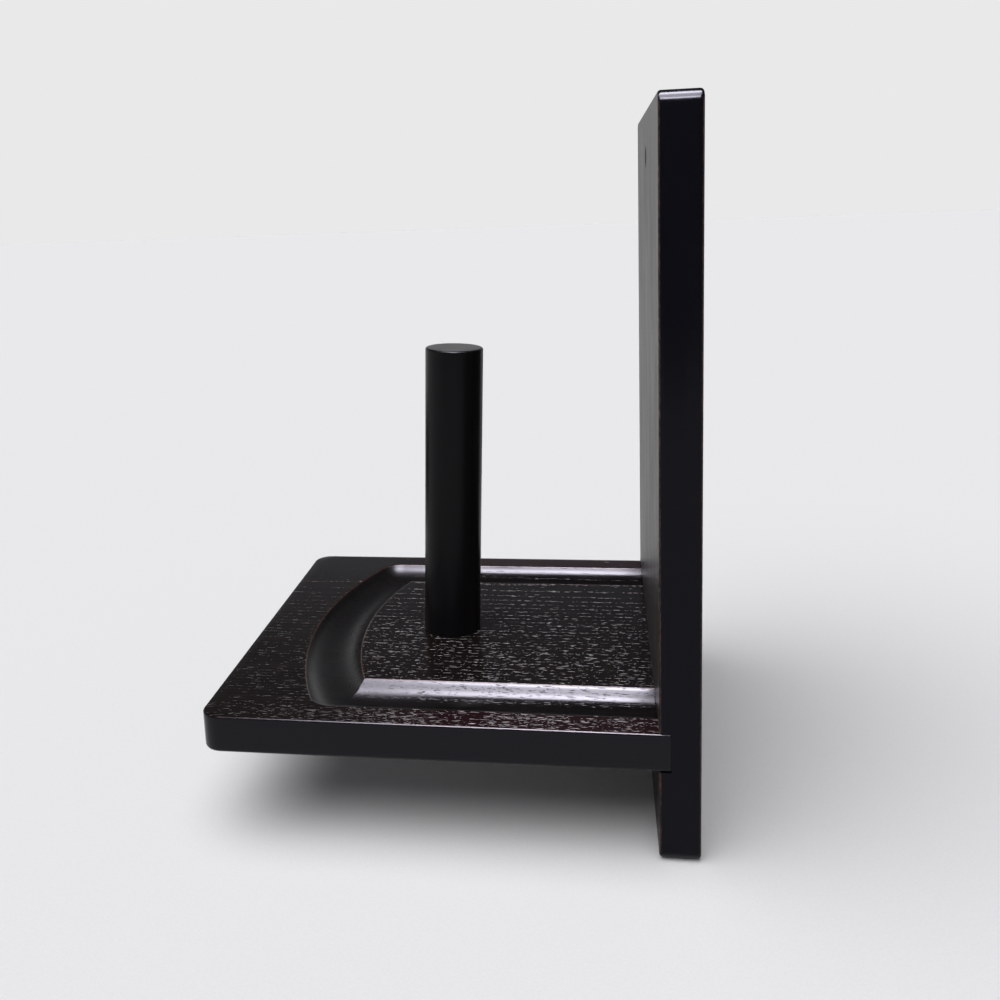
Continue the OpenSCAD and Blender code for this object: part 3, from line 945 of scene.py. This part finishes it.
post_screw_place = POST_FOOT + POST_AXIS * (HEAD_SUNK - SHELF_THICK)
pieces = [
    (make_shelf(), "shelf", "shelf_wood", shelf_wood),
    (make_backboard(), "backboard", "backboard_wood", board_wood),
    (make_post(), "post", "post_wood", post_wood),
    (make_screw("wood_screw_post", post_screw_place, POST_AXIS), "post_screw", "screw_steel", steel),
]
for screw_node, screw_x in zip(SHELF_SCREWS, SHELF_SCREW_X):
    screw_name = screw_node.replace("shelf_screw", "wood_screw")
    screw = make_screw(screw_name, (screw_x, -HEAD_SUNK, SHELF_SCREW_Z), (0, -1, 0))
    pieces.append((screw, screw_node, "screw_steel", steel))
for piece, cad_node, slot_name, finish in pieces:
    piece.data.materials.append(finish)
    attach(piece, "root")
    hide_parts(cad_node)


# ---------------------------------------------------------------- floor, light and camera, in metres

FLOOR_Z = BOARD_LOW[2] * MM
FLOOR_HALF = 9.0
CLOTH_RISE = 0.9
CLOTH_STRENGTH = 102.0
SKY_STRENGTH = 2.85
SKY_DEGREES = 70
SKY_FROM = (0.25, -0.25, 1.0)

# The camera's place and its three directions, then its sensor's width and its lens in millimetres
CAMERA_PLACE = (0.55764, -0.04299, -0.01528)
CAMERA_RIGHT = (-0.15050, 0.98780, -0.04005)
CAMERA_UP = (-0.18047, 0.01238, 0.98350)
CAMERA_FORWARD = (-0.97200, -0.15525, -0.17641)
CAMERA_SENSOR = 36.0
CAMERA_LENS = 37.077
CAMERA_SHIFT = (0.06, -0.12)


def sheet(name, half_x, half_y, centre, finish):
    """A flat sheet about a centre, which isn't part of the object."""
    corners = [(-half_x, -half_y, 0), (half_x, -half_y, 0), (half_x, half_y, 0), (-half_x, half_y, 0)]
    mesh = bpy.data.meshes.new(name)
    mesh.from_pydata((np.array(corners) + centre).tolist(), [], [(0, 1, 2, 3)])
    made = bpy.data.objects.new(name, mesh)
    bpy.context.collection.objects.link(made)
    mesh.materials.append(finish)
    return made


def upright_card(name, half_width, half_height, place, turn, finish):
    """A sheet that stands on the floor at a place in plan, turned about Z."""
    made = sheet(name, half_width, half_height, (0, 0, 0), finish)
    stood = Matrix.Translation((*place, FLOOR_Z + half_height))
    made.matrix_world = stood @ Matrix.Rotation(turn, 4, "Z") @ Matrix.Rotation(math.pi / 2, 4, "X")
    return made


def pale_floor():
    """Matt pale paper with a fibre of about 1 mm. Its underside is clear, for a look from below."""
    made, tree = material("pale_matt_paper")
    place = add(tree, COORDINATES, out="Object")
    fibre = add(tree, NOISE, {"Vector": place, "Scale": 900.0, "Detail": 2.0})
    colour = add(tree, RAMP, {0: fibre}, stops=[(0.3, linear("e9e9ea")), (0.7, linear("ededee"))])
    paper = add(tree, "ShaderNodeBsdfDiffuse", {"Color": colour})
    clear = add(tree, "ShaderNodeBsdfTransparent")
    behind = add(tree, "ShaderNodeNewGeometry", out="Backfacing")
    mixed = add(tree, "ShaderNodeMixShader", {0: behind, 1: paper, 2: clear})
    add(tree, OUTPUT, {"Surface": mixed})
    return made


def lit_cloth():
    """Lit diffusing cloth, brighter over its two tubes and fading at its ends."""
    made, tree = material("lit_diffusing_cloth")
    place = add(tree, COORDINATES, out="Object")
    across = add(tree, SEPARATE, {0: place}, "X")
    along = add(tree, SEPARATE, {0: place}, "Y")
    width = add(tree, FADE, {0: across, 1: -0.2, 2: 1.0})
    tubes = add(tree, RAMP, {0: width}, stops=[
        (0.13, 0.0), (0.19, 0.74), (0.30, 0.74), (0.38, 0.37),
        (0.64, 0.37), (0.70, 1.0), (0.88, 1.0), (0.89, 0.0),
    ])
    length = add(tree, FADE, {0: along, 1: -0.6, 2: 0.4})
    ends = add(tree, RAMP, {0: length}, stops=[
        (0.0, 0.0), (0.07, 0.08), (0.28, 0.75), (0.47, 1.0), (0.68, 1.0), (0.8, 0.0),
    ])
    both = add(tree, MATHS, {0: tubes, 1: ends}, operation="MULTIPLY")
    strength = add(tree, MATHS, {0: both, 1: CLOTH_STRENGTH}, operation="MULTIPLY")
    glow = add(tree, "ShaderNodeEmission", {0: linear("eeeafa"), 1: strength})
    add(tree, OUTPUT, {"Surface": glow})
    return made


def matt_card(name, code):
    """Matt card of one colour."""
    made, tree = material(name)
    dull = add(tree, "ShaderNodeBsdfDiffuse", {"Color": linear(code)})
    add(tree, OUTPUT, {"Surface": dull})
    return made


def studio_world():
    """A pale horizon all round and a dim ceiling, so that upright faces and flat tops mirror little light."""
    world = bpy.data.worlds.new("studio")
    world.use_nodes = True
    tree = world.node_tree
    tree.nodes.clear()
    direction = add(tree, COORDINATES, out="Generated")
    height = add(tree, SEPARATE, {0: direction}, "Z")
    horizon, haze, low_ceiling, ceiling = (linear(code) for code in ("e9e9ea", "8a8a90", "45454a", "505056"))
    colour = add(tree, RAMP, {0: height}, stops=[
        (0.0, horizon), (0.19, horizon), (0.28, haze), (0.42, low_ceiling), (1.0, ceiling),
    ])
    background = add(tree, "ShaderNodeBackground", {0: colour, 1: 1.0})
    add(tree, "ShaderNodeOutputWorld", {"Surface": background})
    bpy.context.scene.world = world


sheet("floor", FLOOR_HALF, FLOOR_HALF, (0, 0, FLOOR_Z), pale_floor())

# The cloth hangs over the shelf and the cards stand on the floor. They are seen in the lacquer only, so the
# cloth doesn't light the floor. The grey card lets upright faces mirror a dusk over the floor, and two low
# black ones keep the pale horizon out of the groove's steep sides
cloth = sheet("diffuser", 0.6, 0.5, (0.4, -0.1, SHELF_HIGH[2] * MM + CLOTH_RISE), lit_cloth())
grey_card = matt_card("matt_grey_card", "8c8c90")
black_card = matt_card("matt_black_card", "050505")
cards = [
    upright_card("card_behind_camera", 1.6, 0.7, (1.5, 0.0), math.pi / 2, grey_card),
    upright_card("card_beside_board", 0.295, 0.138, (-0.645, 0.01), 0.0, black_card),
    upright_card("card_beside_shelf", 0.14, 0.058, (-0.26, -0.51), -math.pi / 4, black_card),
]
for unseen in (cloth, *cards):
    unseen.visible_camera = False
    unseen.visible_diffuse = False
    unseen.visible_shadow = False
    unseen.visible_transmission = False

studio_world()

sky = bpy.data.lights.new("overhead_diffuser", "SUN")
sky.energy = SKY_STRENGTH
sky.angle = math.radians(SKY_DEGREES)
overhead = bpy.data.objects.new("overhead_diffuser", sky)
overhead.matrix_world = Vector(SKY_FROM).to_track_quat("Z", "Y").to_matrix().to_4x4()
overhead.visible_glossy = False
bpy.context.collection.objects.link(overhead)

camera_data = bpy.data.cameras.new("camera")
camera_data.sensor_width = CAMERA_SENSOR
camera_data.lens = CAMERA_LENS
camera_data.shift_x, camera_data.shift_y = CAMERA_SHIFT
camera_data.clip_start = 0.01
camera = bpy.data.objects.new("camera", camera_data)
facing = Matrix((CAMERA_RIGHT, CAMERA_UP, -Vector(CAMERA_FORWARD))).transposed().to_4x4()
camera.matrix_world = Matrix.Translation(CAMERA_PLACE) @ facing
bpy.context.collection.objects.link(camera)
bpy.context.scene.camera = camera

bpy.context.scene.view_settings.view_transform = "Standard"
